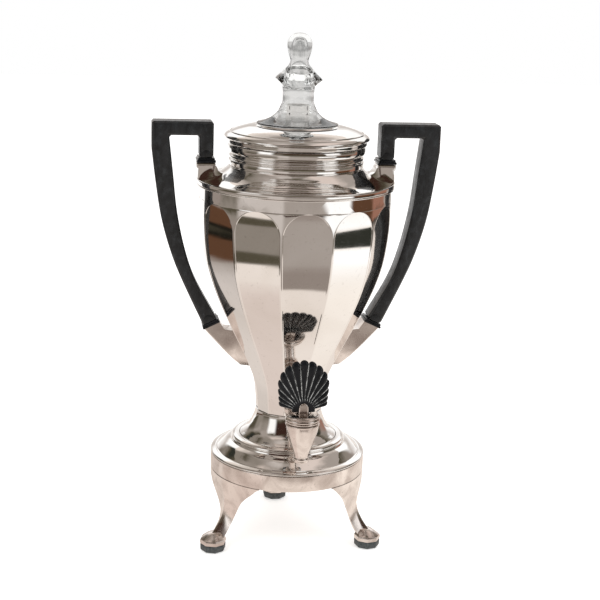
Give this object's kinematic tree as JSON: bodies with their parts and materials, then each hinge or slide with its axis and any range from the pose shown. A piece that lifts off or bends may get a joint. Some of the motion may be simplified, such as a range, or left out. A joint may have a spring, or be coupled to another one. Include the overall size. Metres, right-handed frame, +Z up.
{
  "type": "coffee percolator urn",
  "caption": "Footed electric coffee percolator urn with a faceted silver body, black loop handles, fan-key spigot, lift-off lid and clear glass top.",
  "frame": {"origin": "on the floor, below the middle of the whole outline; the urn's own axis stands 5.14 mm behind it, at Y = +0.00514, because the spigot reaches further out than the rear foot", "axes": "+Z up along the urn's axis; the spigot faces -Y, the rear leg is at +Y and the handles are at -X and +X"},
  "size_m": [0.222, 0.1722, 0.402],
  "materials": {
    "polished_silver": "polished silver plate, warm, with faint tarnish",
    "satin_silver": "satin silver plate with a rosy tarnish",
    "black_wood": "satin black lacquered wood",
    "black_bakelite": "glossy black moulded",
    "black_pad": "matt black",
    "aluminium": "spun satin",
    "plated_brass": "turned, dull",
    "white_ceramic": "unglazed ceramic insulator",
    "fibre": "red-brown pressed fibre",
    "clear_glass": "clear pressed glass"
  },
  "bodies": {
    "urn": {"base_cover": "polished_silver", "bottom_plate": "aluminium", "foot_pad_front_left": "black_pad", "foot_pad_front_right": "black_pad", "foot_pad_rear": "black_pad", "foot_screw_front_left": "plated_brass", "foot_screw_front_right": "plated_brass", "foot_screw_rear": "plated_brass", "handle_left": "black_wood", "handle_right": "black_wood", "handle_screw_lower_left": "plated_brass", "handle_screw_lower_right": "plated_brass", "handle_screw_upper_left": "plated_brass", "handle_screw_upper_right": "plated_brass", "handle_washer_lower_left": "black_bakelite", "handle_washer_lower_right": "black_bakelite", "handle_washer_upper_left": "black_bakelite", "handle_washer_upper_right": "black_bakelite", "heater_clamp": "aluminium", "heater_lead_left": "fibre", "heater_lead_right": "fibre", "heating_element": "white_ceramic", "inlet_bracket": "aluminium", "inlet_guard": "aluminium", "inlet_insulator": "white_ceramic", "inlet_pin_left": "plated_brass", "inlet_pin_right": "plated_brass", "leg_front_left": "satin_silver", "leg_front_right": "satin_silver", "leg_rear": "satin_silver", "leg_screw_front_left": "plated_brass", "leg_screw_front_right": "plated_brass", "leg_screw_rear": "plated_brass", "lower_socket_left": "satin_silver", "lower_socket_right": "satin_silver", "neck_and_shoulder": "polished_silver", "pedestal": "polished_silver", "plinth_band": "satin_silver", "shank_gasket": "fibre", "shank_nut": "plated_brass", "spigot_body": "satin_silver", "spigot_cap": "satin_silver", "tie_rod": "plated_brass", "tie_rod_nut": "plated_brass", "upper_socket_left": "polished_silver", "upper_socket_right": "polished_silver", "urn_body": "polished_silver", "vessel_floor": "aluminium"},
    "pump_stem": {"pump_stem": "aluminium"},
    "coffee_basket": {"coffee_basket": "aluminium"},
    "basket_cover": {"basket_cover": "aluminium"},
    "lid": {"lid": "polished_silver"},
    "glass_top": {"glass_top": "clear_glass"},
    "spigot_key": {"fan_handle": "black_bakelite", "fan_pin": "plated_brass", "spigot_key": "satin_silver"}
  },
  "joints": [
    {"name": "pump_stem_lift", "type": "slide", "parent": "urn", "child": "pump_stem", "axis": [0, 0, 1], "range_m": [0, 0.26]},
    {"name": "basket_lift", "type": "slide", "parent": "pump_stem", "child": "coffee_basket", "axis": [0, 0, 1], "range_m": [0, 0.1]},
    {"name": "basket_cover_lift", "type": "slide", "parent": "coffee_basket", "child": "basket_cover", "axis": [0, 0, 1], "range_m": [0, 0.055]},
    {"name": "lid_lift", "type": "slide", "parent": "basket_cover", "child": "lid", "axis": [0, 0, 1], "range_m": [0, 0.07]},
    {"name": "glass_top_lift", "type": "slide", "parent": "lid", "child": "glass_top", "axis": [0, 0, 1], "range_m": [0, 0.05]},
    {"name": "spigot_turn", "type": "hinge", "parent": "urn", "child": "spigot_key", "pos_m": [0, -0.07286, 0.114], "axis": [0, 0, 1], "range_deg": [-90, 90]}
  ]
}
